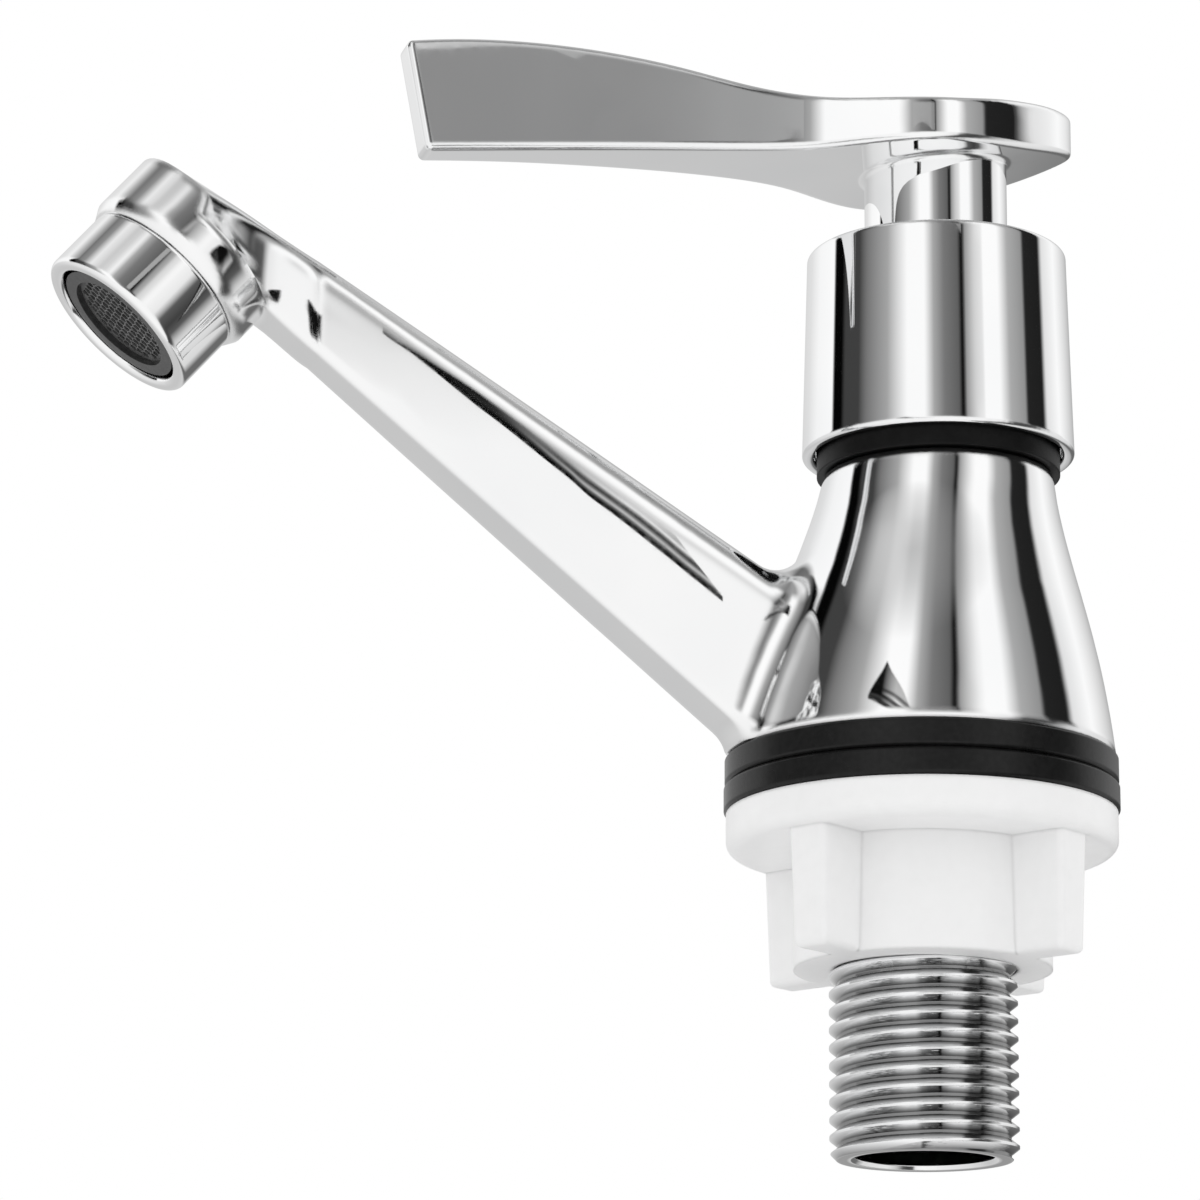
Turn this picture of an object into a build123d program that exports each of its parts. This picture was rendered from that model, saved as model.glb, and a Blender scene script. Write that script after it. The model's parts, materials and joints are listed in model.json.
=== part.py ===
from build123d import *
import math
import os

# Basin tap: one chromed pillar tap with a quarter-turn lever, for a single supply.
# Millimetres. Origin: centre of the deck seat, the plane under the upper base ring, on the
# axis of the threaded tail. +Z is up, the spout points along -Y.

# Clearances: between pieces that fit together, and between pieces that pass each other.
fit_gap = 0.05
slide_gap = 0.3

# Tail: outside diameter of size G 1/2, with the coarser pitch that the photograph shows.
tail_crest_r = 20.955 / 2
thread_pitch = 2.0
thread_depth = 0.9
thread_crest_flat = 0.28
thread_root_flat = 0.32
thread_radial_clearance = 0.15
thread_flank_clearance = 0.12
tail_bottom_z = -41.9
tail_thread_top_z = -0.3
tail_end_chamfer = 0.75
inlet_bore_r = 7.75
inlet_mouth_chamfer = 0.4
shank_spigot_r = 9.9
shank_top_z = 8.0

# Base rings, one above and one below the basin.
base_ring_r = 22.1
base_ring_height = 3.2
base_ring_hole_r = 10.85
clamp_washer_overhang = 0.1
clamp_washer_r = base_ring_r + clamp_washer_overhang
clamp_washer_height = 3.1
clamp_washer_hole_r = 11.0
ring_edge_chamfer = 0.35

# Back nut: a flange, a round barrel and four square lugs.
nut_flange_inset = 0.15
nut_flange_r = base_ring_r - nut_flange_inset
nut_flange_height = 4.4
nut_flange_round = 1.3
nut_barrel_r = 14.4
nut_height = 17.6
nut_lug_count = 4
nut_lug_width = 5.1
nut_lug_reach = 20.8
nut_lug_root = 2.0
nut_lug_head = 0.5
nut_first_lug_angle = 33.0
nut_lug_draft = 1.6
nut_lug_edge = 0.7

# Column: an oblique cone whose top leans away from the spout. The lowest circle only shapes
# the flare and the blend, and is cut away at the base ring.
column_offset_y = 2.4
column_top_z = 36.45
column_foot_inset = 0.25
column_foot_spread = 3.3
column_radii = [
    (-14.0, base_ring_r + column_foot_spread),
    (base_ring_height, base_ring_r - column_foot_inset),
    (10.0, 20.45),
    (20.0, 17.65),
    (column_top_z, 13.1),
]
column_top_round = 0.8

# Head: a short cylinder on the tilted outlet axis, from its mouth up to its shoulder under
# the flare. The outlet's place is the middle of the aerator's rim.
outlet_tilt = 50.0
outlet_distance = 93.1
outlet_height = 45.15
head_r = 10.6
head_mouth_r = 9.95
head_mouth_at = 7.9
head_mouth_chamfer = 1.2
head_shoulder_at = 12.6
head_socket_r = 8.85
head_socket_end = 13.1
head_chamber_r = 7.3
head_chamber_end = 14.5

# Spout: its underside runs straight from a start inside the column to the tip behind the
# outlet. Each section has a height, half width of the flat underside, half width below the
# ridge, corner radius and ridge radius; the sections are evenly spaced.
spout_foot_distance = 2.0
spout_foot_z = -11.7
spout_tip_back = 22.1
spout_tip_drop = 1.75
spout_sections = [
    (25.0, 4.0, 5.6, 4.5, 7.0),
    (20.5, 3.9, 5.2, 4.2, 6.5),
    (16.0, 3.6, 4.6, 3.7, 5.8),
    (11.35, 3.1, 3.8, 2.9, 5.1),
]
spout_edge_round = 0.5
spout_column_blend = 4.4

# Flare: it widens the spout's tip into the round head, which trims its far end. First how
# far each section stands behind the outlet and above it, then the same sizes as above.
flare_sections = [
    (17.6, 1.65, 10.3, 3.4, 4.3, 2.3, 6.6),
    (13.1, 5.05, 9.1, 5.1, 5.9, 1.6, 11.0),
    (8.6, 8.25, 7.9, 9.0, 9.6, 1.2, 16.0),
    (4.1, 10.85, 7.4, 13.0, 13.3, 1.1, 20.0),
    (-0.4, 11.85, 8.6, 16.0, 16.2, 1.1, 24.0),
    (-4.9, 12.25, 10.3, 18.0, 18.2, 1.1, 27.0),
]

# Water way.
chamber_r = 9.3
chamber_floor_z = 11.0
chamber_thread_r = 10.4
chamber_thread_z = 24.0
inlet_port_r = 6.0
spout_way_r = 2.6
spout_way_start = (5.0, 20.0)
spout_way_bend = (22.0, 19.8)
spout_way_tip = (19.1, 6.25)
spout_way_end = (8.1, 13.05)

# Headwork: the brass insert with two ceramic discs and the spindle that turns the upper one.
headwork_skirt_r = chamber_r - 2 * fit_gap
headwork_skirt_z = 12.4
headwork_cavity_r = 7.7
headwork_cavity_top_z = 22.7
headwork_window_width = 8.0
headwork_window_z = (18.2, 21.9)
headwork_collar_r = 11.0
headwork_collar_top_z = 47.0
headwork_hex_width = 17.0
headwork_hex_top_z = 51.0
headwork_guide_r = 6.3
headwork_guide_top_z = 65.0
spindle_r = 3.95
spindle_top_z = 71.7
disc_r = headwork_cavity_r - 2 * fit_gap
disc_height = 2.8
seat_seal_height = 2.0
seat_seal_hole_r = 5.9
disc_port_inner_r = 2.4
disc_port_outer_r = 5.8
disc_port_angle = 78.0
drive_bar_r = 7.3
drive_bar_width = 3.6
drive_bar_height = 3.0
drive_key_width = 2.4
drive_key_depth = 1.0
thrust_washer_r = 7.3
thrust_washer_hole_r = 4.2
thrust_washer_height = 0.75
o_ring_wire_r = 0.68
o_ring_groove_width = 1.7
o_ring_z = (52.0, 56.0)
circlip_height = 0.8
circlip_inner_r = 3.0
circlip_outer_r = 5.2
circlip_opening = 60.0
spline_teeth = 16
spline_outer_r = 3.7
spline_inner_r = 3.25
spline_bottom_z = 66.2
screw_hole_bottom_z = 60.0

# Bonnet and the black ring that closes the gap below it.
bonnet_bottom_z = 38.6
bonnet_top_z = 62.6
bonnet_bottom_r = 15.58
bonnet_top_r = 14.92
bonnet_wall = 1.35
bonnet_roof = 1.6
bonnet_edge = 0.45
bonnet_hole_r = 8.65
bonnet_boss_z = (41.0, 46.6)
bonnet_seal_r = 13.9

# Lever: an egg-shaped pad over the neck, rising behind it, and a blade that grows taller
# and thinner towards its tip. Distances run forward from the column axis, towards the tip.
neck_r = 8.25
neck_bottom_z = 58.5
neck_top_z = 75.0
neck_socket_r = 6.75
neck_socket_top_z = 66.8
neck_blend = 0.6
lever_back_end = -16.8
lever_half_widths = [
    (-15.0, 3.3),
    (-8.0, 8.8),
    (-1.0, 12.4),
    (4.0, 13.2),
    (9.5, 11.4),
    (16.2, 7.6),
    (26.2, 5.0),
    (41.5, 3.3),
    (65.5, 2.2),
]
lever_bottom_points = [
    (-18.5, 77.4),
    (-10.0, 74.8),
    (-4.0, 73.55),
    (2.0, 72.8),
    (8.0, 72.45),
    (16.0, 72.15),
    (30.0, 71.5),
    (45.0, 70.4),
    (61.4, 68.8),
]
lever_top_points = [
    (63.9, 81.7),
    (56.0, 82.75),
    (48.0, 83.0),
    (40.0, 82.55),
    (32.0, 81.4),
    (24.0, 79.7),
    (16.0, 78.45),
    (8.0, 77.75),
    (2.0, 77.95),
    (-4.0, 79.2),
    (-10.0, 80.55),
    (-18.5, 81.9),
]
lever_edge_round = 0.7

# Handle screw and plain cap.
cap_r = 5.5
cap_bottom_z = 75.9
screw_head_r = 3.4
screw_head_height = 2.0
screw_r = 1.95
screw_seat_z = 73.4
screw_tip_z = 61.0
screw_hex_width = 3.0
screw_hex_depth = 1.3

# Aerator: distances along the outlet axis are taken from the middle of its rim, inwards.
aerator_r = 9.7
aerator_mouth_r = 7.95
aerator_rim_round = 0.65
aerator_body_end = 7.7
aerator_neck_end = 11.9
aerator_neck_bore_r = 8.2
aerator_shelf_at = 6.3
aerator_seal_r = 8.6
aerator_seal_hole_r = 7.0
cage_r = 7.6
cage_bore_r = 6.6
cage_face_at = 0.55
cage_flange_height = 0.7
cage_ledge_r = 6.1
grid_at = 1.3
grid_height = 0.8
grid_pitch = 0.98
grid_web = 0.16
grid_jitter = 0.09
grid_rim = 0.3
spray_disc_at = 4.5
spray_disc_height = 1.0
spray_hole_count = 12
spray_hole_r = 0.8
spray_circle_r = 4.6
strainer_at = 8.6
strainer_height = 0.6
strainer_hole_r = 0.45
strainer_ring_pitch = 1.6
strainer_rings = 4

os.makedirs("parts", exist_ok=True)

UP = (Align.CENTER, Align.CENTER, Align.MIN)
column_axis = Pos(0, column_offset_y, 0)


def rod(radius, low, high):
    return Pos(0, 0, low) * Cylinder(radius, high - low, align=UP)


def tube(outer, inner, low, high):
    return rod(outer, low, high) - rod(inner, low - 1, high + 1)


def turned(*points):
    # A solid of revolution about Z from (radius, height) points.
    outline = Plane.XZ * make_face(Polyline(*points, close=True))
    return revolve(outline, Axis.Z)


def wedge(angle, reach, low, high):
    # A sharp wedge from the Z axis, spreading evenly about +X.
    half = math.radians(angle / 2)
    corner = (reach * math.cos(half), reach * math.sin(half))
    plan = Polygon((0, 0), (corner[0], -corner[1]), corner, align=None)
    return Pos(0, 0, low) * extrude(plan, high - low, dir=(0, 0, 1))


def helix_ridge(inner_r, inner_width, outer_r, outer_width, low, high):
    # A right-hand ridge with a trapezoid section, centred at height low at angle zero.
    section = Plane.XZ * Polygon(
        (inner_r, low - inner_width / 2),
        (inner_r, low + inner_width / 2),
        (outer_r, low + outer_width / 2),
        (outer_r, low - outer_width / 2),
        align=None,
    )
    path = Helix(
        pitch=thread_pitch,
        height=high - low,
        radius=(inner_r + outer_r) / 2,
        center=(0, 0, low),
    )
    return sweep(section, path=path, is_frenet=True)


def save(solid, node):
    export_step(solid, f"parts/{node}.step")


# Tail shank.
thread_root_r = tail_crest_r - thread_depth
flank_slope = (thread_pitch - thread_crest_flat - thread_root_flat) / thread_depth
groove_outer_r = tail_crest_r + thread_radial_clearance
tail_groove = helix_ridge(
    thread_root_r,
    thread_root_flat,
    groove_outer_r,
    thread_root_flat + flank_slope * (groove_outer_r - thread_root_r),
    tail_bottom_z - thread_pitch,
    tail_thread_top_z,
)
tail = rod(tail_crest_r, tail_bottom_z, base_ring_height) - tail_groove
tail = tail + rod(shank_spigot_r, base_ring_height, shank_top_z)
tail = tail & turned(
    (inlet_bore_r + inlet_mouth_chamfer, tail_bottom_z),
    (tail_crest_r - tail_end_chamfer, tail_bottom_z),
    (tail_crest_r, tail_bottom_z + tail_end_chamfer),
    (tail_crest_r + 1, tail_bottom_z + tail_end_chamfer + 1),
    (tail_crest_r + 1, shank_top_z),
    (inlet_bore_r, shank_top_z),
    (inlet_bore_r, tail_bottom_z + inlet_mouth_chamfer),
)
save(tail, "tail_shank")

# Base rings.
base_ring = tube(base_ring_r, base_ring_hole_r, 0, base_ring_height)
base_ring = chamfer(
    base_ring.edges().filter_by(GeomType.CIRCLE).sort_by(SortBy.RADIUS)[-2:],
    ring_edge_chamfer,
)
save(base_ring, "base_ring")
clamp_top_z = -fit_gap
clamp_bottom_z = clamp_top_z - clamp_washer_height
clamp_washer = tube(clamp_washer_r, clamp_washer_hole_r, clamp_bottom_z, clamp_top_z)
clamp_washer = chamfer(
    clamp_washer.edges().filter_by(GeomType.CIRCLE).sort_by(SortBy.RADIUS)[-2:],
    ring_edge_chamfer,
)
save(clamp_washer, "clamp_washer")

# Back nut, with a thread that follows the tail's at a clearance.
nut_top_z = clamp_bottom_z - fit_gap
nut_bottom_z = nut_top_z - nut_height
nut_flange = rod(nut_flange_r, nut_top_z - nut_flange_height, nut_top_z)
nut_flange = fillet(
    nut_flange.faces().sort_by(Axis.Z)[0].edges(),
    nut_flange_round,
)
nut = nut_flange + rod(nut_barrel_r, nut_bottom_z, nut_top_z)
lug_root_r = nut_barrel_r - nut_lug_root
lug_middle = (lug_root_r + nut_lug_reach) / 2
lug_length = nut_lug_reach - lug_root_r
lug_top_z = nut_top_z - nut_flange_height + nut_lug_head
for index in range(nut_lug_count):
    angle = nut_first_lug_angle + index * 360 / nut_lug_count
    lug_plan = Plane(origin=(0, 0, lug_top_z), z_dir=(0, 0, -1)) * Rectangle(lug_length, nut_lug_width)
    lug = extrude(lug_plan, lug_top_z - nut_bottom_z, taper=nut_lug_draft)
    lug = fillet(lug.edges().filter_by(Plane.XY, reverse=True), nut_lug_edge)
    lug = fillet(lug.faces().sort_by(Axis.Z)[0].edges(), nut_lug_edge)
    nut = nut + Rot(0, 0, angle) * Pos(lug_middle, 0, 0) * lug
nut_bore_r = thread_root_r + thread_radial_clearance
nut_groove_in = nut_bore_r - fit_gap
nut_groove_out = tail_crest_r + thread_radial_clearance
ridge_base = thread_pitch - thread_root_flat + 2 * thread_flank_clearance
turns_down = math.floor((nut_bottom_z - 1 - tail_bottom_z) / thread_pitch)
nut_space = rod(nut_bore_r, nut_bottom_z - 1, nut_top_z + 1) + helix_ridge(
    nut_groove_in,
    ridge_base - flank_slope * (nut_groove_in - thread_root_r),
    nut_groove_out,
    ridge_base - flank_slope * (nut_groove_out - thread_root_r),
    tail_bottom_z + thread_pitch / 2 + (turns_down - 1) * thread_pitch,
    nut_top_z + 3,
)
nut = nut - nut_space
save(nut, "back_nut")


# Body casting.
def column_centre(height):
    share = (height - base_ring_height) / (column_top_z - base_ring_height)
    return column_offset_y * share


column = loft(
    [
        Plane(origin=(0, column_centre(z), z), x_dir=(0, 1, 0)) * Circle(radius)
        for z, radius in column_radii
    ]
)
column = fillet(column.faces().sort_by(Axis.Z)[-1].edges(), column_top_round)


def spout_section(distance, low, height, half_low, half_high, corner_r, ridge_r):
    # Flat underside, leaning sides, round corners and a ridge, each tangent to the next.
    high = low + height
    corner_x = half_high - corner_r
    corner_z = high - ridge_r + math.sqrt((ridge_r - corner_r) ** 2 - corner_x**2)
    ridge_z = high - ridge_r
    share = ridge_r / (ridge_r - corner_r)
    meet = (corner_x * share, ridge_z + (corner_z - ridge_z) * share)
    down = math.atan2(low - corner_z, half_low - corner_x)
    reach = math.hypot(half_low - corner_x, low - corner_z)
    touch = down + math.acos(corner_r / reach)
    middle = (touch + math.atan2(meet[1] - corner_z, meet[0] - corner_x)) / 2

    def on_corner(angle):
        return (corner_x + corner_r * math.cos(angle), corner_z + corner_r * math.sin(angle))

    def mirrored(point):
        return (-point[0], point[1])

    outline = make_face(
        [
            Line((-half_low, low), (half_low, low)),
            Line((half_low, low), on_corner(touch)),
            ThreePointArc(on_corner(touch), on_corner(middle), meet),
            ThreePointArc(meet, (0, high), mirrored(meet)),
            ThreePointArc(mirrored(meet), mirrored(on_corner(middle)), mirrored(on_corner(touch))),
            Line(mirrored(on_corner(touch)), (-half_low, low)),
        ]
    )
    outline = fillet(outline.vertices().sort_by(Axis.Y)[:2], spout_edge_round)
    section_plane = Plane(origin=(0, -distance, 0), x_dir=(1, 0, 0), z_dir=(0, -1, 0))
    return section_plane * outline


def behind_outlet(back, rise):
    # A point given by how far it lies behind the outlet and how far above it.
    return outlet_distance - back, outlet_height + rise


spout_tip_distance, spout_tip_z = behind_outlet(spout_tip_back, -spout_tip_drop)
spout_outlines = []
for index, section in enumerate(spout_sections):
    share = index / (len(spout_sections) - 1)
    distance = spout_foot_distance + share * (spout_tip_distance - spout_foot_distance)
    low = spout_foot_z + share * (spout_tip_z - spout_foot_z)
    spout_outlines.append(spout_section(distance, low, *section))
spout = loft(spout_outlines)
body = column + spout
around_spout = [
    edge
    for edge in new_edges(column, spout, combined=body)
    if edge.position_at(0.5).Z > spout_foot_z / 2
]
body = fillet(around_spout, spout_column_blend)
flare_outlines = [spout_outlines[-1]]
for back, rise, *section in flare_sections:
    flare_outlines.append(spout_section(*behind_outlet(back, rise), *section))
flare = loft(flare_outlines)

tilt = math.radians(outlet_tilt)
outlet_plane = Plane(
    origin=(0, -outlet_distance, outlet_height),
    x_dir=(1, 0, 0),
    z_dir=(0, math.cos(tilt), math.sin(tilt)),
)
outlet_axis = Location(outlet_plane)
beyond = Box(60, 60, 80, align=(Align.CENTER, Align.MAX, Align.CENTER))
beyond = beyond - Rot(0, 0, 90) * rod(head_r, head_shoulder_at - 3, 60)
flare = flare - outlet_axis * beyond
head = outlet_axis * Rot(0, 0, -90) * turned(
    (0, head_mouth_at),
    (head_mouth_r, head_mouth_at),
    (head_r, head_mouth_at + head_mouth_chamfer),
    (head_r, head_shoulder_at),
    (0, head_shoulder_at),
)
body = body + flare + head
below = Box(300, 300, 80, align=(Align.CENTER, Align.CENTER, Align.MAX))
body = body - Pos(0, 0, base_ring_height) * below

# Water way: spigot socket, inlet port, chamber, spout bore and outlet socket.
body = body - rod(shank_spigot_r + fit_gap, base_ring_height - 1, shank_top_z)
body = body - Pos(0, column_offset_y / 2, 0) * rod(inlet_port_r, 0, chamber_floor_z + 1)
body = body - column_axis * rod(chamber_r, chamber_floor_z, column_top_z + 1)
body = body - column_axis * rod(chamber_thread_r, chamber_thread_z, column_top_z + 1)
way_route = [
    spout_way_start,
    spout_way_bend,
    behind_outlet(*spout_way_tip),
    behind_outlet(*spout_way_end),
]
way_points = [(0, -distance, height) for distance, height in way_route]
way = sweep(
    Plane(
        origin=way_points[0],
        z_dir=Vector(*way_points[1]) - Vector(*way_points[0]),
    )
    * Circle(spout_way_r),
    path=Polyline(*way_points),
    transition=Transition.ROUND,
)
body = body - way
body = body - outlet_axis * rod(head_socket_r, head_mouth_at - 1, head_socket_end)
body = body - outlet_axis * rod(head_chamber_r, head_mouth_at, head_chamber_end)
save(body, "body_casting")

# Headwork body.
headwork = turned(
    (headwork_cavity_r, headwork_skirt_z),
    (headwork_skirt_r, headwork_skirt_z),
    (headwork_skirt_r, chamber_thread_z + slide_gap),
    (chamber_thread_r - fit_gap, chamber_thread_z + slide_gap),
    (chamber_thread_r - fit_gap, column_top_z),
    (headwork_collar_r, column_top_z),
    (headwork_collar_r, headwork_collar_top_z),
    (headwork_guide_r, headwork_collar_top_z),
    (headwork_guide_r, headwork_guide_top_z),
    (spindle_r + fit_gap, headwork_guide_top_z),
    (spindle_r + fit_gap, headwork_cavity_top_z),
    (headwork_cavity_r, headwork_cavity_top_z),
)
hexagon = RegularPolygon(headwork_hex_width / 2, 6, major_radius=False)
hexagon = extrude(
    Pos(0, 0, headwork_collar_top_z) * hexagon,
    headwork_hex_top_z - headwork_collar_top_z,
)
headwork = headwork + (hexagon - rod(headwork_guide_r - 1, 0, headwork_guide_top_z))
window = Box(
    headwork_window_width,
    4 * headwork_skirt_r,
    headwork_window_z[1] - headwork_window_z[0],
    align=UP,
)
headwork = headwork - Pos(0, 0, headwork_window_z[0]) * window
save(column_axis * headwork, "headwork_body")

# Seat seal and ceramic discs. The ports of the upper disc stand a quarter turn away from
# those of the lower one, so the tap is closed at rest.
fixed_disc_z = chamber_floor_z + seat_seal_height
turning_disc_z = fixed_disc_z + disc_height + fit_gap
turning_disc_top_z = turning_disc_z + disc_height
seat_seal = tube(disc_r, seat_seal_hole_r, chamber_floor_z, fixed_disc_z)
save(column_axis * seat_seal, "seat_seal")


def port(low, high):
    ring = tube(disc_port_outer_r, disc_port_inner_r, low, high)
    return ring & wedge(disc_port_angle, 2 * disc_r, low, high)


fixed_disc = rod(disc_r, fixed_disc_z, fixed_disc_z + disc_height)
turning_disc = rod(disc_r, turning_disc_z, turning_disc_top_z)
for turn in (0, 180):
    fixed_disc = fixed_disc - Rot(0, 0, turn) * port(fixed_disc_z - 1, turning_disc_z)
    turning_disc = turning_disc - Rot(0, 0, turn + 90) * port(turning_disc_z - 1, turning_disc_top_z + 1)
key_slot = Box(
    3 * disc_r,
    drive_key_width + 2 * fit_gap,
    drive_key_depth + fit_gap,
    align=(Align.CENTER, Align.CENTER, Align.MAX),
)
turning_disc = turning_disc - Pos(0, 0, turning_disc_top_z) * key_slot
save(column_axis * fixed_disc, "ceramic_disc_fixed")
save(column_axis * turning_disc, "ceramic_disc_rotating")


def spline_rod(growth, low, high):
    # The toothed end of the spindle. The socket in the lever is the same, grown a little.
    step = 2 * math.pi / spline_teeth
    corners = (
        (spline_inner_r, -0.3),
        (spline_outer_r, -0.16),
        (spline_outer_r, 0.16),
        (spline_inner_r, 0.3),
    )
    outline = [
        (
            (radius + growth) * math.cos((tooth + share) * step),
            (radius + growth) * math.sin((tooth + share) * step),
        )
        for tooth in range(spline_teeth)
        for radius, share in corners
    ]
    return Pos(0, 0, low) * extrude(Polygon(*outline, align=None), high - low, dir=(0, 0, 1))


# Spindle with its drive bar, key, grooves, spline and tapped hole.
bar = Box(3 * drive_bar_r, drive_bar_width, drive_bar_height, align=UP)
bar = Pos(0, 0, turning_disc_top_z) * bar
key = Box(3 * drive_bar_r, drive_key_width, drive_key_depth + 1, align=UP)
key = Pos(0, 0, turning_disc_top_z - drive_key_depth) * key
bar = (bar + key) & rod(drive_bar_r, turning_disc_z, headwork_cavity_top_z)
spindle = bar + rod(spindle_r, turning_disc_top_z, spline_bottom_z)
spindle = spindle + spline_rod(0, spline_bottom_z, spindle_top_z)
o_ring_middle_r = spindle_r + fit_gap / 2 - o_ring_wire_r
o_ring_groove_r = o_ring_middle_r - o_ring_wire_r - fit_gap / 2
for middle in o_ring_z:
    low = middle - o_ring_groove_width / 2
    spindle = spindle - tube(2 * spindle_r, o_ring_groove_r, low, low + o_ring_groove_width)
circlip_z = headwork_guide_top_z + fit_gap
spindle = spindle - tube(
    2 * spindle_r,
    circlip_inner_r - fit_gap,
    circlip_z,
    circlip_z + circlip_height + fit_gap,
)
spindle = spindle - rod(screw_r + fit_gap, screw_hole_bottom_z, spindle_top_z + 1)
save(column_axis * spindle, "spindle")

thrust_washer = tube(
    thrust_washer_r,
    thrust_washer_hole_r,
    headwork_cavity_top_z - thrust_washer_height,
    headwork_cavity_top_z,
)
save(column_axis * thrust_washer, "thrust_washer")

o_ring = Torus(o_ring_middle_r, o_ring_wire_r)
o_rings = [column_axis * Pos(0, 0, middle) * o_ring for middle in o_ring_z]
save(Compound(o_rings), "spindle_o_rings")

circlip = tube(circlip_outer_r, circlip_inner_r, circlip_z, circlip_z + circlip_height)
circlip = circlip - wedge(circlip_opening, 4 * circlip_outer_r, circlip_z - 1, spindle_top_z)
save(column_axis * circlip, "circlip")


# Bonnet: a slightly tapered shell with a roof and a boss that centres it on the headwork.
def bonnet_outer(height):
    share = (height - bonnet_bottom_z) / (bonnet_top_z - bonnet_bottom_z)
    return bonnet_bottom_r + (bonnet_top_r - bonnet_bottom_r) * share


roof_z = bonnet_top_z - bonnet_roof
boss_bottom_z, boss_top_z = bonnet_boss_z
bonnet = turned(
    (bonnet_bottom_r, bonnet_bottom_z),
    (bonnet_top_r, bonnet_top_z),
    (bonnet_hole_r, bonnet_top_z),
    (bonnet_hole_r, roof_z),
    (bonnet_outer(roof_z) - bonnet_wall, roof_z),
    (bonnet_outer(boss_top_z) - bonnet_wall, boss_top_z),
    (headwork_collar_r + fit_gap, boss_top_z),
    (headwork_collar_r + fit_gap, boss_bottom_z),
    (bonnet_outer(boss_bottom_z) - bonnet_wall, boss_bottom_z),
    (bonnet_bottom_r - bonnet_wall, bonnet_bottom_z),
)
rims = bonnet.edges().filter_by(GeomType.CIRCLE)
bonnet = fillet([rims.sort_by(Axis.Z)[0], rims.sort_by(Axis.Z)[1]], bonnet_edge)
top_rims = bonnet.faces().sort_by(Axis.Z)[-1].edges().filter_by(GeomType.CIRCLE)
bonnet = fillet(top_rims, bonnet_edge)
save(column_axis * bonnet, "bonnet_shroud")

bonnet_seal = tube(bonnet_seal_r, headwork_collar_r + fit_gap, column_top_z, boss_bottom_z)
save(column_axis * bonnet_seal, "bonnet_seal_ring")

# Lever handle: its plan and its side view are cut out of each other.
right_side = [(width, -distance) for distance, width in lever_half_widths]
left_side = [(-x, y) for x, y in right_side]
around = right_side[::-1] + [(0, -lever_back_end)] + left_side
plan = make_face([Spline(*around, tangents=[(0, 1), (0, -1)]), Line(around[-1], around[0])])
under = [(-distance, z) for distance, z in lever_bottom_points]
over = [(-distance, z) for distance, z in lever_top_points]
side = make_face(
    [
        Spline(*under),
        Line(under[-1], over[0]),
        Spline(*over),
        Line(over[-1], under[0]),
    ]
)
half_room = 2 * lever_half_widths[3][1]
lever_blank = Pos(0, 0, neck_bottom_z) * extrude(plan, 2 * half_room, dir=(0, 0, 1))
lever_blank = lever_blank & Pos(-half_room, 0, 0) * extrude(Plane.YZ * side, 2 * half_room, dir=(1, 0, 0))
lever = fillet(lever_blank.edges(), lever_edge_round)
lever = lever + rod(neck_r, neck_bottom_z, neck_top_z)
neck_edges = [
    edge
    for edge in lever.edges()
    if edge.position_at(0.5).Z > neck_socket_top_z
    and abs(math.hypot(edge.position_at(0.2).X, edge.position_at(0.2).Y) - neck_r) < fit_gap
    and abs(math.hypot(edge.position_at(0.6).X, edge.position_at(0.6).Y) - neck_r) < fit_gap
]
lever = fillet(neck_edges, neck_blend)
lever = lever - rod(neck_socket_r, neck_bottom_z - 1, neck_socket_top_z)
lever = lever - spline_rod(fit_gap, neck_socket_top_z - 1, spindle_top_z + slide_gap)
lever = lever - rod(screw_r + slide_gap, spindle_top_z, screw_seat_z + 1)
lever = lever - rod(screw_head_r + slide_gap, screw_seat_z, cap_bottom_z + 1)
lever = lever - rod(cap_r + fit_gap, cap_bottom_z, cap_bottom_z + 20)
save(column_axis * lever, "lever_handle")

# Handle screw with a hexagon socket, and the plain cap over it.
screw = rod(screw_r, screw_tip_z, screw_seat_z)
screw = screw + rod(screw_head_r, screw_seat_z, screw_seat_z + screw_head_height)
socket = extrude(RegularPolygon(screw_hex_width / 2, 6, major_radius=False), screw_hex_depth + 1)
screw = screw - Pos(0, 0, screw_seat_z + screw_head_height - screw_hex_depth) * socket
save(column_axis * screw, "handle_screw")
cap = lever_blank & rod(cap_r, cap_bottom_z, cap_bottom_z + 20)
save(column_axis * cap, "index_cap")

# Aerator housing, screwed into the head.
housing = turned(
    (aerator_mouth_r, 0),
    (aerator_r, 0),
    (aerator_r, aerator_body_end),
    (head_socket_r - fit_gap, aerator_body_end),
    (head_socket_r - fit_gap, aerator_neck_end),
    (aerator_neck_bore_r, aerator_neck_end),
    (aerator_neck_bore_r, aerator_shelf_at),
    (aerator_mouth_r, aerator_shelf_at),
)
housing = fillet(housing.faces().sort_by(Axis.Z)[0].edges(), aerator_rim_round)
save(outlet_axis * housing, "aerator_housing")

# Cage: a cup with a flange on the shelf and a ledge under the grid.
cage_end = aerator_shelf_at + cage_flange_height
cage = turned(
    (cage_ledge_r, cage_face_at),
    (cage_r, cage_face_at),
    (cage_r, aerator_shelf_at),
    (aerator_neck_bore_r - fit_gap, aerator_shelf_at),
    (aerator_neck_bore_r - fit_gap, cage_end),
    (cage_bore_r, cage_end),
    (cage_bore_r, grid_at),
    (cage_ledge_r, grid_at),
)
save(outlet_axis * cage, "aerator_cage")


def grid_corner(x, y):
    # Corners shared by neighbouring cells move the same way, so the webs stay even.
    swing = math.sin(12.9 * round(x, 3) + 78.2 * round(y, 3)) * 43758.5
    turn = 2 * math.pi * (swing - math.floor(swing))
    return (x + grid_jitter * math.cos(turn), y + grid_jitter * math.sin(turn))


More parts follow.
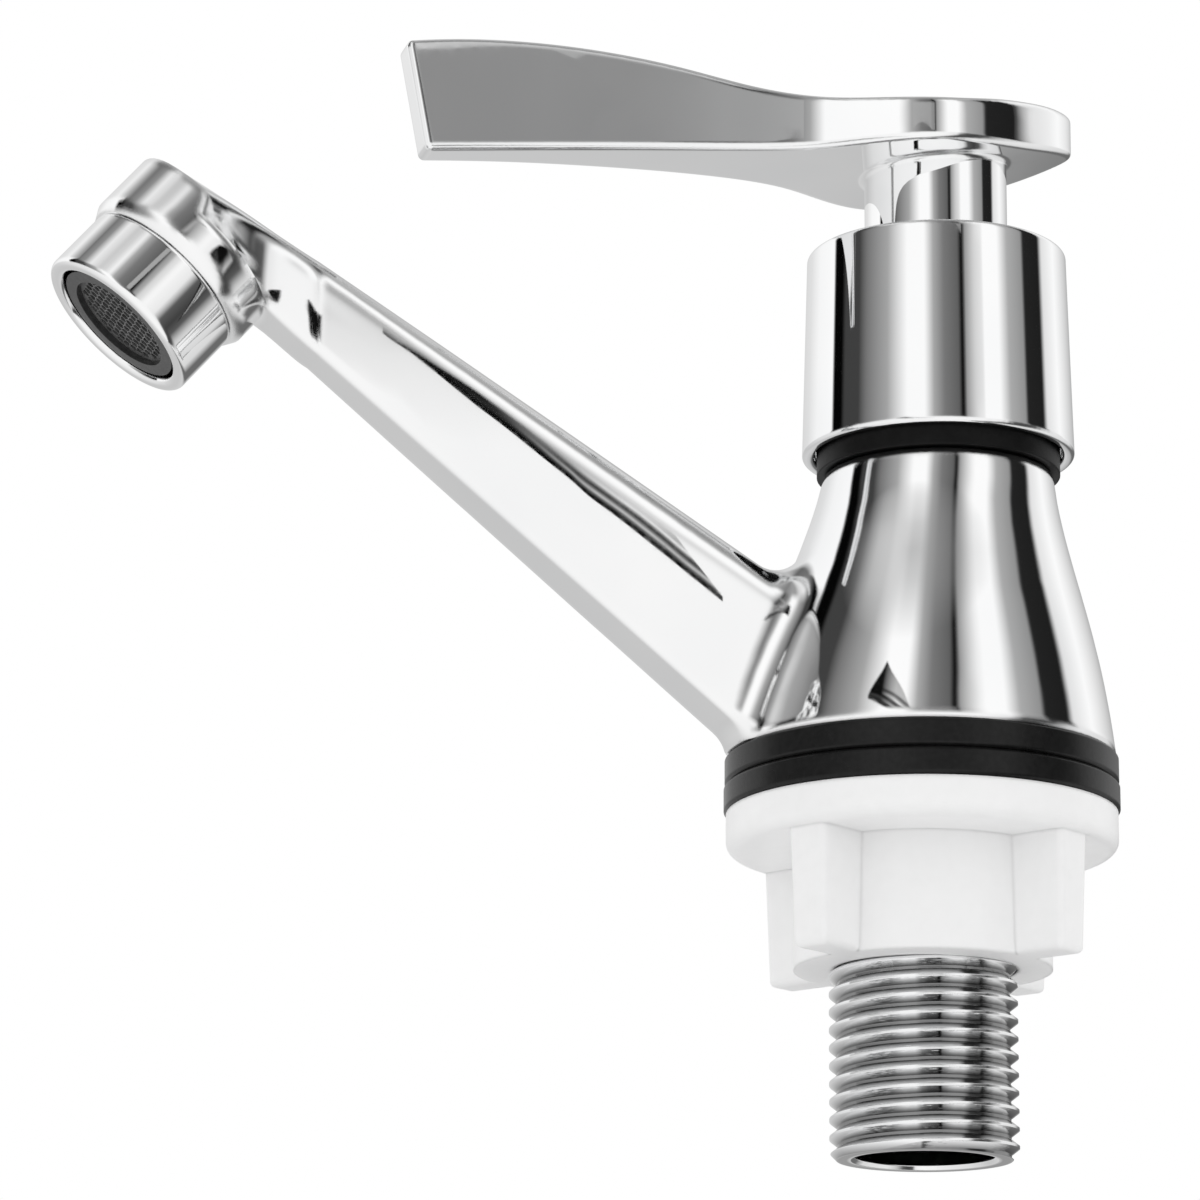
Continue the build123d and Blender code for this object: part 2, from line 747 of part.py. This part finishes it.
def grid_cells(reach):
    row_pitch = grid_pitch * math.sqrt(3) / 2
    rows = math.ceil(reach / row_pitch)
    columns = math.ceil(reach / grid_pitch)
    for row in range(-rows, rows + 1):
        for column_index in range(-columns, columns + 1):
            x = (column_index + row % 2 / 2) * grid_pitch
            y = row * row_pitch
            if math.hypot(x, y) + grid_pitch / 2 > reach:
                continue
            corners = []
            for side_index in range(6):
                angle = math.radians(30 + 60 * side_index)
                spread = grid_pitch / math.sqrt(3)
                corner_x, corner_y = grid_corner(
                    x + spread * math.cos(angle),
                    y + spread * math.sin(angle),
                )
                inset = 1 - grid_web / grid_pitch
                corners.append((x + (corner_x - x) * inset, y + (corner_y - y) * inset))
            yield corners


grid_r = cage_bore_r - fit_gap
grid = Circle(grid_r).face()
holes = [Polygon(*corners, align=None).face().outer_wire() for corners in grid_cells(grid_r - grid_rim)]
grid = grid.make_holes(holes)
grid = Pos(0, 0, grid_at) * extrude(grid, grid_height, dir=(0, 0, 1))
save(outlet_axis * grid, "aerator_grid")

spray_disc = rod(grid_r, spray_disc_at, spray_disc_at + spray_disc_height)
for index in range(spray_hole_count):
    turn = Rot(0, 0, index * 360 / spray_hole_count)
    hole = rod(spray_hole_r, spray_disc_at - 1, spray_disc_at + spray_disc_height + 1)
    spray_disc = spray_disc - turn * Pos(spray_circle_r, 0, 0) * hole
save(outlet_axis * spray_disc, "aerator_spray_disc")

strainer = Circle(aerator_neck_bore_r - fit_gap) - Circle(strainer_hole_r)
for ring_index in range(1, strainer_rings + 1):
    count = 6 * ring_index
    for index in range(count):
        turn = Rot(0, 0, index * 360 / count)
        strainer = strainer - turn * Pos(ring_index * strainer_ring_pitch, 0, 0) * Circle(strainer_hole_r)
strainer = Pos(0, 0, strainer_at) * extrude(strainer, strainer_height, dir=(0, 0, 1))
save(outlet_axis * strainer, "aerator_strainer")

aerator_seal = tube(aerator_seal_r, aerator_seal_hole_r, aerator_neck_end, head_socket_end)
save(outlet_axis * aerator_seal, "aerator_seal")
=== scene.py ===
import json
import math

import bpy
from mathutils import Matrix, Vector

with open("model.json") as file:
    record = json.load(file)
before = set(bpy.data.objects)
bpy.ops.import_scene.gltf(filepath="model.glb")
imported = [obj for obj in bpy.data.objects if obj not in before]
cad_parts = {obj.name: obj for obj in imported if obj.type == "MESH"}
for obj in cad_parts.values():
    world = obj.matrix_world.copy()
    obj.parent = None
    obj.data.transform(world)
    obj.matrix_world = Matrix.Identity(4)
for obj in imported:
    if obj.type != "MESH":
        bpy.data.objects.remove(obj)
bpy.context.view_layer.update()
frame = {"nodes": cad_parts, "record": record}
nodes = frame["nodes"]
scene = bpy.context.scene
scene.view_settings.view_transform = "Standard"

# Camera: below the deck and looking up at the tap, as in the photograph.
camera_place = Vector((0.4731, -0.1722, -0.1089))
camera_forward = Vector((-0.93103, 0.26467, 0.25128)).normalized()
level_right = Vector((0.27344, 0.96189, 0.0)).normalized()
camera_lens = 137.17
camera_roll = 0.0091

level_up = level_right.cross(camera_forward)
roll_cos, roll_sin = math.cos(camera_roll), math.sin(camera_roll)
camera_right = roll_cos * level_right + roll_sin * level_up
camera_up = roll_cos * level_up - roll_sin * level_right
camera_axes = Matrix((camera_right, camera_up, -camera_forward)).transposed()
camera_data = bpy.data.cameras.new("camera")
camera_data.lens = camera_lens
camera_data.sensor_width = 36.0
camera_data.clip_start = 0.01
camera_data.clip_end = 20.0
camera = bpy.data.objects.new("camera", camera_data)
camera.matrix_world = Matrix.Translation(camera_place) @ camera_axes.to_4x4()
scene.collection.objects.link(camera)
scene.camera = camera


def linear(value):
    # A display brightness from 0 to 1 as scene light.
    return value / 12.92 if value <= 0.04045 else ((value + 0.055) / 1.055) ** 2.4


def grey(level):
    return (level, level, level)


class Nodes:
    # Adds shader nodes to one node tree and links them.
    def __init__(self, tree):
        self.tree = tree

    def add(self, kind, settings=(), **inputs):
        node = self.tree.nodes.new(kind)
        for name, value in dict(settings).items():
            setattr(node, name, value)
        for name, value in inputs.items():
            self.feed(node, name.replace("_", " "), value)
        return node

    def feed(self, node, key, value):
        # An input, by its name or its number, takes a link or a constant.
        socket = node.inputs[key]
        if isinstance(value, bpy.types.NodeSocket):
            self.tree.links.new(value, socket)
        else:
            socket.default_value = value

    def math(self, operation, first, second=0.0):
        node = self.add("ShaderNodeMath", {"operation": operation})
        self.feed(node, 0, first)
        self.feed(node, 1, second)
        return node.outputs[0]

    def spread(self, value, low, high, to_low=0.0, to_high=1.0):
        node = self.add("ShaderNodeMapRange")
        for name, setting in (
            ("Value", value),
            ("From Min", low),
            ("From Max", high),
            ("To Min", to_low),
            ("To Max", to_high),
        ):
            self.feed(node, name, setting)
        return node.outputs["Result"]

    def ramp(self, factor, stops):
        node = self.add("ShaderNodeValToRGB")
        ramp = node.color_ramp
        ramp.interpolation = "LINEAR"
        while len(ramp.elements) < len(stops):
            ramp.elements.new(1.0)
        for element, (place, colour) in zip(ramp.elements, stops):
            element.position = place
            element.color = (*colour, 1.0)
        self.feed(node, "Fac", factor)
        return node.outputs["Color"]

    def mix(self, factor, first, second):
        node = self.add("ShaderNodeMix", {"data_type": "RGBA"})
        # The colour inputs and output of this node share their names with its others.
        for number, value in zip((0, 6, 7), (factor, first, second)):
            self.feed(node, number, value)
        return node.outputs[2]


# Studio: what the chrome reflects. Tall light panels with dark gaps between them stand all
# round, and change with height. Each entry is a direction in degrees to the right of the
# camera, seen from the tap, and how bright it looks there.
panels_level = (
    (-180, 0.84), (-150, 0.89), (-130, 0.98), (-107, 1.0), (-105, 0.02), (-95, 0.02),
    (-91, 0.25), (-76, 0.25), (-68, 0.46), (-48, 0.65), (-30, 1.0), (-15, 1.0),
    (-7, 0.66), (2, 0.47), (15, 0.37), (16, 0.08), (19, 0.1), (21, 0.6), (34, 0.95),
    (38, 1.0), (51, 1.0), (61, 0.68), (76, 0.58), (79, 0.14), (98, 0.12), (103, 0.9),
    (122, 1.0), (142, 0.87), (165, 0.7), (180, 0.84),
)
panels_high = (
    (-180, 0.75), (-140, 0.4), (-105, 0.46), (-85, 0.56), (-62, 0.93), (-42, 0.85),
    (-25, 0.62), (-8, 0.62), (25, 0.5), (52, 0.6), (83, 0.75), (122, 0.6), (150, 0.7),
    (180, 0.75),
)
panels_low = (
    (-180, 0.82), (-150, 0.78), (-120, 0.88), (-60, 0.96), (0, 0.98), (36, 0.97),
    (49, 0.92), (58, 0.35), (70, 0.25), (80, 0.35), (92, 0.8), (104, 0.92), (136, 0.86),
    (150, 0.42), (165, 0.42), (174, 0.75), (180, 0.82),
)

world = bpy.data.worlds.new("studio")
scene.world = world
world.use_nodes = True
world.node_tree.nodes.clear()
sky = Nodes(world.node_tree)
direction = sky.add("ShaderNodeTexCoord").outputs["Generated"]
facing = math.atan2(-camera_forward.y, -camera_forward.x)
turned = sky.add(
    "ShaderNodeVectorRotate", {"rotation_type": "Z_AXIS"}, Vector=direction, Angle=-facing
)
parts = sky.add("ShaderNodeSeparateXYZ", Vector=turned.outputs[0])
around = sky.math("ARCTAN2", parts.outputs["Y"], parts.outputs["X"])
around = sky.spread(around, -math.pi, math.pi)
height = sky.math("ARCSINE", parts.outputs["Z"])


def ring(panels):
    stops = [((angle + 180) / 360, grey(linear(level))) for angle, level in panels]
    return sky.ramp(around, stops)


# The rings of panels blend into each other between these heights, in degrees.
low_to_level = sky.spread(height, math.radians(7), math.radians(14))
level_to_high = sky.spread(height, math.radians(46), math.radians(58))
reflected = sky.mix(low_to_level, ring(panels_low), ring(panels_level))
reflected = sky.mix(level_to_high, reflected, ring(panels_high))
path = sky.add("ShaderNodeLightPath")
seen = sky.mix(path.outputs["Is Glossy Ray"], (1.0, 1.0, 1.0, 1.0), reflected)
background = sky.add("ShaderNodeBackground", Color=seen, Strength=1.0)
sky.add("ShaderNodeOutputWorld", Surface=background.outputs[0])


def empty_material(name):
    made = bpy.data.materials.new(name)
    made.use_nodes = True
    made.node_tree.nodes.clear()
    return made, Nodes(made.node_tree)


def object_axes(build):
    # Where on the object each point lies, as X, Y and Z in metres.
    place = build.add("ShaderNodeTexCoord").outputs["Object"]
    return build.add("ShaderNodeSeparateXYZ", Vector=place).outputs


def material(name):
    # A material with one shader, and where on the object each point lies.
    made, build = empty_material(name)
    shader = build.add("ShaderNodeBsdfPrincipled")
    build.add("ShaderNodeOutputMaterial", Surface=shader.outputs[0])
    place = build.add("ShaderNodeTexCoord").outputs["Object"]
    return made, build, shader, place


def noise(build, place, size, detail=3.0, stretch=None):
    # Noise whose largest spots are about this many millimetres across.
    if stretch:
        place = build.add("ShaderNodeMapping", Vector=place, Scale=stretch).outputs[0]
    made = build.add("ShaderNodeTexNoise", Vector=place, Scale=500.0 / size, Detail=detail)
    return made.outputs["Fac"]


def tint(build, shader, factor, dark, light):
    factor = build.spread(factor, 0.35, 0.65)
    build.feed(shader, "Base Color", build.mix(factor, (*dark, 1.0), (*light, 1.0)))


def relief(build, shader, height, depth, edge=None):
    # Bumps of about this depth in metres, over edges that are softened by this radius.
    bump = build.add("ShaderNodeBump", Strength=1.0, Distance=depth, Height=height)
    if edge:
        bevel = build.add("ShaderNodeBevel", {"samples": 8}, Radius=edge)
        build.feed(bump, "Normal", bevel.outputs[0])
    build.feed(shader, "Normal", bump.outputs[0])


def plated(name, roughness, edge):
    # Polished chrome: faint haze in patches, and the slight waviness of a buffed casting.
    waviness = 0.000004
    made, build, shader, place = material(name)
    shader.inputs["Metallic"].default_value = 1.0
    haze = noise(build, place, 14.0)
    tint(build, shader, haze, (0.93, 0.935, 0.94), (0.98, 0.98, 0.98))
    specks = noise(build, place, 0.5, detail=2.0)
    cloud = build.math("MULTIPLY", build.spread(haze, 0.3, 0.7), build.spread(specks, 0.3, 0.7))
    rough = build.spread(cloud, 0.0, 1.0, 0.6 * roughness, 1.8 * roughness)
    build.feed(shader, "Roughness", rough)
    relief(build, shader, noise(build, place, 22.0, detail=1.0), waviness, edge)
    return made


def moulded(name, dark, light, roughness, grain_size, grain_depth, edge, shine=0.5):
    # Moulded plastic or rubber: a fine grain, and patches that shine a little more or less.
    made, build, shader, place = material(name)
    shader.inputs["Specular IOR Level"].default_value = shine
    patches = noise(build, place, 9.0)
    grain = noise(build, place, grain_size, detail=2.0)
    both = build.math("MULTIPLY", build.math("ADD", patches, grain), 0.5)
    tint(build, shader, both, dark, light)
    rough = build.spread(patches, 0.3, 0.7, 0.85 * roughness, 1.15 * roughness)
    build.feed(shader, "Roughness", rough)
    relief(build, shader, grain, grain_depth, edge)
    return made


def machined(name, dark, light, metallic, roughness):
    # Turned metal or lapped ceramic: fine rings round the vertical axis.
    made, build, shader, place = material(name)
    shader.inputs["Metallic"].default_value = metallic
    rings = noise(build, place, 6.0, detail=4.0, stretch=(0.6, 0.6, 30.0))
    tint(build, shader, rings, dark, light)
    build.feed(shader, "Roughness", build.spread(rings, 0.3, 0.7, 0.8 * roughness, 1.2 * roughness))
    relief(build, shader, rings, 0.00001, 0.0003)
    return made


def paint_groove_shade(made, root, crest, wall, level):
    # Painted shade: the bottoms of a thread's grooves are painted darker than its crests, and than
    # all inside the wall, standing in for the shade that falls in the grooves. Root, crest and wall
    # are distances from the vertical axis.
    build = Nodes(made.node_tree)
    shader = made.node_tree.nodes["Principled BSDF"]
    axes = object_axes(build)
    squares = [build.math("MULTIPLY", axes[name], axes[name]) for name in "XY"]
    radius = build.math("SQRT", build.math("ADD", *squares))
    outside = build.spread(radius, root, crest)
    inside = build.spread(radius, wall, 0.95 * wall)
    plain = shader.inputs["Base Color"].links[0].from_socket
    light = build.math("MAXIMUM", outside, inside)
    build.feed(shader, "Base Color", build.mix(light, (*grey(level), 1.0), plain))


chrome_roughness = 0.025
finishes = {
    "chrome_body": plated("chrome", chrome_roughness, edge=0.0005),
    "chrome_tail": plated("chrome_tail", 0.04, edge=0.0001),
    "black_ring": moulded(
        "black_ring", grey(0.003), grey(0.009), 0.28, 0.35, 0.000008, edge=0.0003, shine=0.25
    ),
    "black_rubber": moulded(
        "black_rubber", grey(0.002), grey(0.006), 0.45, 0.5, 0.00001, edge=0.0003, shine=0.15
    ),
    "white_plastic": moulded(
        "white_plastic", grey(0.93), grey(0.96), 0.38, 0.8, 0.000004, edge=0.0008
    ),
    "brass": machined("brass", (0.62, 0.46, 0.2), (0.8, 0.63, 0.34), 1.0, 0.22),
    "ceramic": machined("ceramic", (0.84, 0.83, 0.8), (0.92, 0.91, 0.88), 0.0, 0.12),
    "pale_plastic": moulded(
        "pale_plastic", (0.7, 0.71, 0.7), (0.8, 0.81, 0.8), 0.45, 0.6, 0.00001, edge=0.0002
    ),
    "steel": machined("steel", grey(0.5), grey(0.66), 1.0, 0.25),
    "dark_plastic": moulded(
        "dark_plastic", grey(0.02), grey(0.05), 0.35, 0.4, 0.00001, edge=0.0001
    ),
}
# Painted shade in the grooves of the tail's thread: a dark grey at the roots, the chrome at the
# crests.
paint_groove_shade(finishes["chrome_tail"], root=0.0094, crest=0.0104, wall=0.0086, level=0.12)
own_finishes = {
    "aerator_grid": moulded("grille", grey(0.06), grey(0.16), 0.4, 0.7, 0.00003, edge=0.00005),
    # A larger softening of the edges where the spout widens into the head.
    "body_casting": plated("chrome_casting", chrome_roughness, edge=0.0015),
}
for entry in frame["record"]["subparts"]:
    name = entry["node"]
    nodes[name].data.materials.clear()
    nodes[name].data.materials.append(own_finishes.get(name, finishes[entry["material_slot"]]))

# Cards hung near the tap. Only its reflections show them: the dark edge along the spout's
# near side, and the even grey of the lever's.


def card(name, distance, outline):
    # A flat card across X at this distance. Its material glows, and its shader comes back
    # with the Y and Z of each point.
    corners = [(distance, y, z) for y, z in outline]
    mesh = bpy.data.meshes.new(name)
    mesh.from_pydata(corners, [], [tuple(range(len(corners)))])
    made = bpy.data.objects.new(name, mesh)
    for way in ("camera", "diffuse", "shadow", "transmission", "volume_scatter"):
        setattr(made, "visible_" + way, False)
    scene.collection.objects.link(made)
    paint, build = empty_material(name)
    glow = build.add("ShaderNodeEmission")
    build.add("ShaderNodeOutputMaterial", Surface=glow.outputs[0])
    mesh.materials.append(paint)
    axes = object_axes(build)
    return build, glow, axes["Y"], axes["Z"]


def stripes(build, factor, levels, reach):
    stops = [(distance / reach, grey(linear(level))) for distance, level in levels]
    return build.ramp(factor, stops)


spout_card = (
    (-0.062, 0.0531), (-0.018, 0.0228), (-0.018, 0.0234), (-0.045, 0.055), (-0.062, 0.0541),
)
build, glow, along, up = card("spout_card", 0.05, spout_card)
# Its stripes run parallel to the spout. Each is a distance above the line through the
# card's lower edge, in millimetres, and a brightness.
edge_slope = 0.69
edge_height = 0.01036
stripe_reach = 40.0
outer = (
    (0.0, 0.02), (0.6, 0.05), (1.0, 0.18), (1.5, 0.24), (1.9, 0.05), (12.0, 0.08), (17.0, 0.3),
    (21.0, 0.5), (40.0, 0.58),
)
inner = (
    (0.0, 0.02), (0.5, 0.06), (0.9, 0.4), (1.2, 0.8), (1.5, 0.5), (1.9, 0.15), (2.3, 0.5),
    (2.6, 0.95), (3.0, 0.65), (3.6, 0.3), (4.2, 0.75), (16.0, 0.6), (18.0, 0.15), (22.0, 0.7),
    (40.0, 0.6),
)
above = build.math("ADD", build.math("MULTIPLY", along, edge_slope), up)
above = build.spread(above, edge_height, edge_height + 0.001 * stripe_reach)
inward = build.spread(along, -0.046, -0.034)
outer_light = stripes(build, above, outer, stripe_reach)
inner_light = stripes(build, above, inner, stripe_reach)
build.feed(glow, "Color", build.mix(inward, outer_light, inner_light))

lever_card = ((-0.12, 0.19), (0.01, 0.177), (0.01, 0.199), (-0.12, 0.212))
build, glow, along, up = card("lever_card", 0.3, lever_card)
# Its brightness at distances from its far end, in metres.
lever_levels = ((0.0, 0.66), (0.05, 0.64), (0.1, 0.62), (0.115, 0.56), (0.13, 0.54))
along = build.spread(along, lever_card[0][0], lever_card[1][0])
build.feed(glow, "Color", stripes(build, along, lever_levels, 0.13))

# Floor: pale and plain, well below the tail.
floor_mesh = bpy.data.meshes.new("floor")
floor_half = 4.0
floor_z = -0.2
floor_signs = ((-1, -1), (1, -1), (1, 1), (-1, 1))
corners = [(x * floor_half, y * floor_half, floor_z) for x, y in floor_signs]
floor_mesh.from_pydata(corners, [], [(0, 1, 2, 3)])
floor = bpy.data.objects.new("floor", floor_mesh)
floor.visible_glossy = False
scene.collection.objects.link(floor)
floor_paint, build, shader, place = material("floor")
tint(build, shader, noise(build, place, 300.0), grey(0.84), grey(0.87))
shader.inputs["Roughness"].default_value = 0.8
floor_mesh.materials.append(floor_paint)
